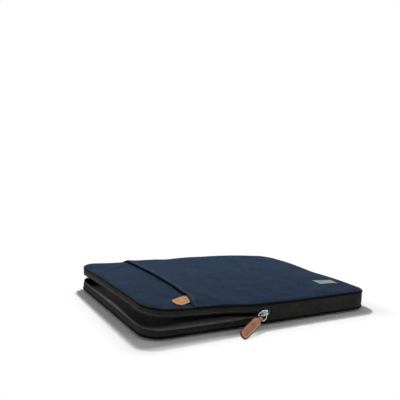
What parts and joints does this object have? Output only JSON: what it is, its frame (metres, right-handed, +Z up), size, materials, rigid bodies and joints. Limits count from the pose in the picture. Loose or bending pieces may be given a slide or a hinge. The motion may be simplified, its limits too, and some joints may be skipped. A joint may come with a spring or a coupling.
{
  "type": "laptop sleeve",
  "caption": "Padded zip-round laptop sleeve lying flat with its mouth part open: piped edges, outside slip pocket, zip slider with ring and leather pull.",
  "frame": {"origin": "centre of the flat back panel, on the surface that the sleeve lies on", "axes": "+X along the sleeve towards its closed end (mouth at -X), +Y across it away from the zip slider, +Z up from the table"},
  "size_m": [0.39, 0.3184, 0.0485],
  "materials": {
    "navy_weave": "heathered canvas weave, matt",
    "wall_weave": "fine plain weave, matt",
    "lining": "smooth brushed lining",
    "foam": "closed-cell foam",
    "piping_cord": "bias strip over cord",
    "zip_tape": "herringbone tape",
    "zip_coil": "moulded coil",
    "zip_metal": "plated zinc",
    "tan_leather": "smooth vegetable-tanned leather",
    "patch_weave": "fine woven patch, blank"
  },
  "bodies": {
    "tray": {"back_fabric": "navy_weave", "back_foam": "foam", "back_lining": "lining", "lower_piping": "piping_cord", "lower_gusset": "wall_weave", "lower_gusset_lining": "lining", "end_gusset": "wall_weave", "end_gusset_foam": "foam", "end_gusset_lining": "lining", "lower_zip_tape": "zip_tape", "lower_zip_coil": "zip_coil", "upper_gusset_ends": "wall_weave", "upper_lining_ends": "lining", "upper_tape_ends": "zip_tape", "upper_coil_ends": "zip_coil", "near_zip_stop": "zip_metal", "far_zip_stop": "zip_metal", "cover_fabric": "navy_weave", "cover_foam": "foam", "cover_lining": "lining", "cover_piping": "piping_cord", "pocket_panel": "navy_weave", "label_patch": "patch_weave"},
    "mouth_flap": {"mouth_fabric": "navy_weave", "mouth_foam": "foam", "mouth_lining": "lining", "mouth_piping": "piping_cord", "upper_gusset": "wall_weave", "upper_gusset_lining": "lining", "upper_zip_tape": "zip_tape", "upper_zip_coil": "zip_coil", "pocket_mouth": "navy_weave", "leather_tab": "tan_leather"},
    "slider": {"slider_body": "zip_metal", "slider_bail": "zip_metal"},
    "pull_ring": {"pull_ring": "zip_metal"},
    "leather_pull": {"leather_pull": "tan_leather"}
  },
  "joints": [
    {"name": "mouth_lift", "type": "hinge", "parent": "tray", "child": "mouth_flap", "pos_m": [-0.0193, 0, 0.0373], "axis": [0, 1, 0], "range_deg": [-4.4, 60], "stiffness_Nm_per_rad": 1, "springref_deg": 4.58},
    {"name": "slider_travel", "type": "slide", "parent": "tray", "child": "slider", "axis": [-1, 0, 0], "range_m": [0, 0.143], "deforming": ["upper_zip_coil"]},
    {"name": "ring_swing", "type": "hinge", "parent": "slider", "child": "pull_ring", "pos_m": [-0.0135, -0.1431, 0.019], "axis": [-0.4458, 0.4897, 0.7493], "range_deg": [-8, 85]},
    {"name": "leather_swing", "type": "hinge", "parent": "pull_ring", "child": "leather_pull", "pos_m": [-0.02512, -0.14938, 0.01619], "axis": [-0.4458, 0.4897, 0.7493], "range_deg": [-8, 50]}
  ]
}
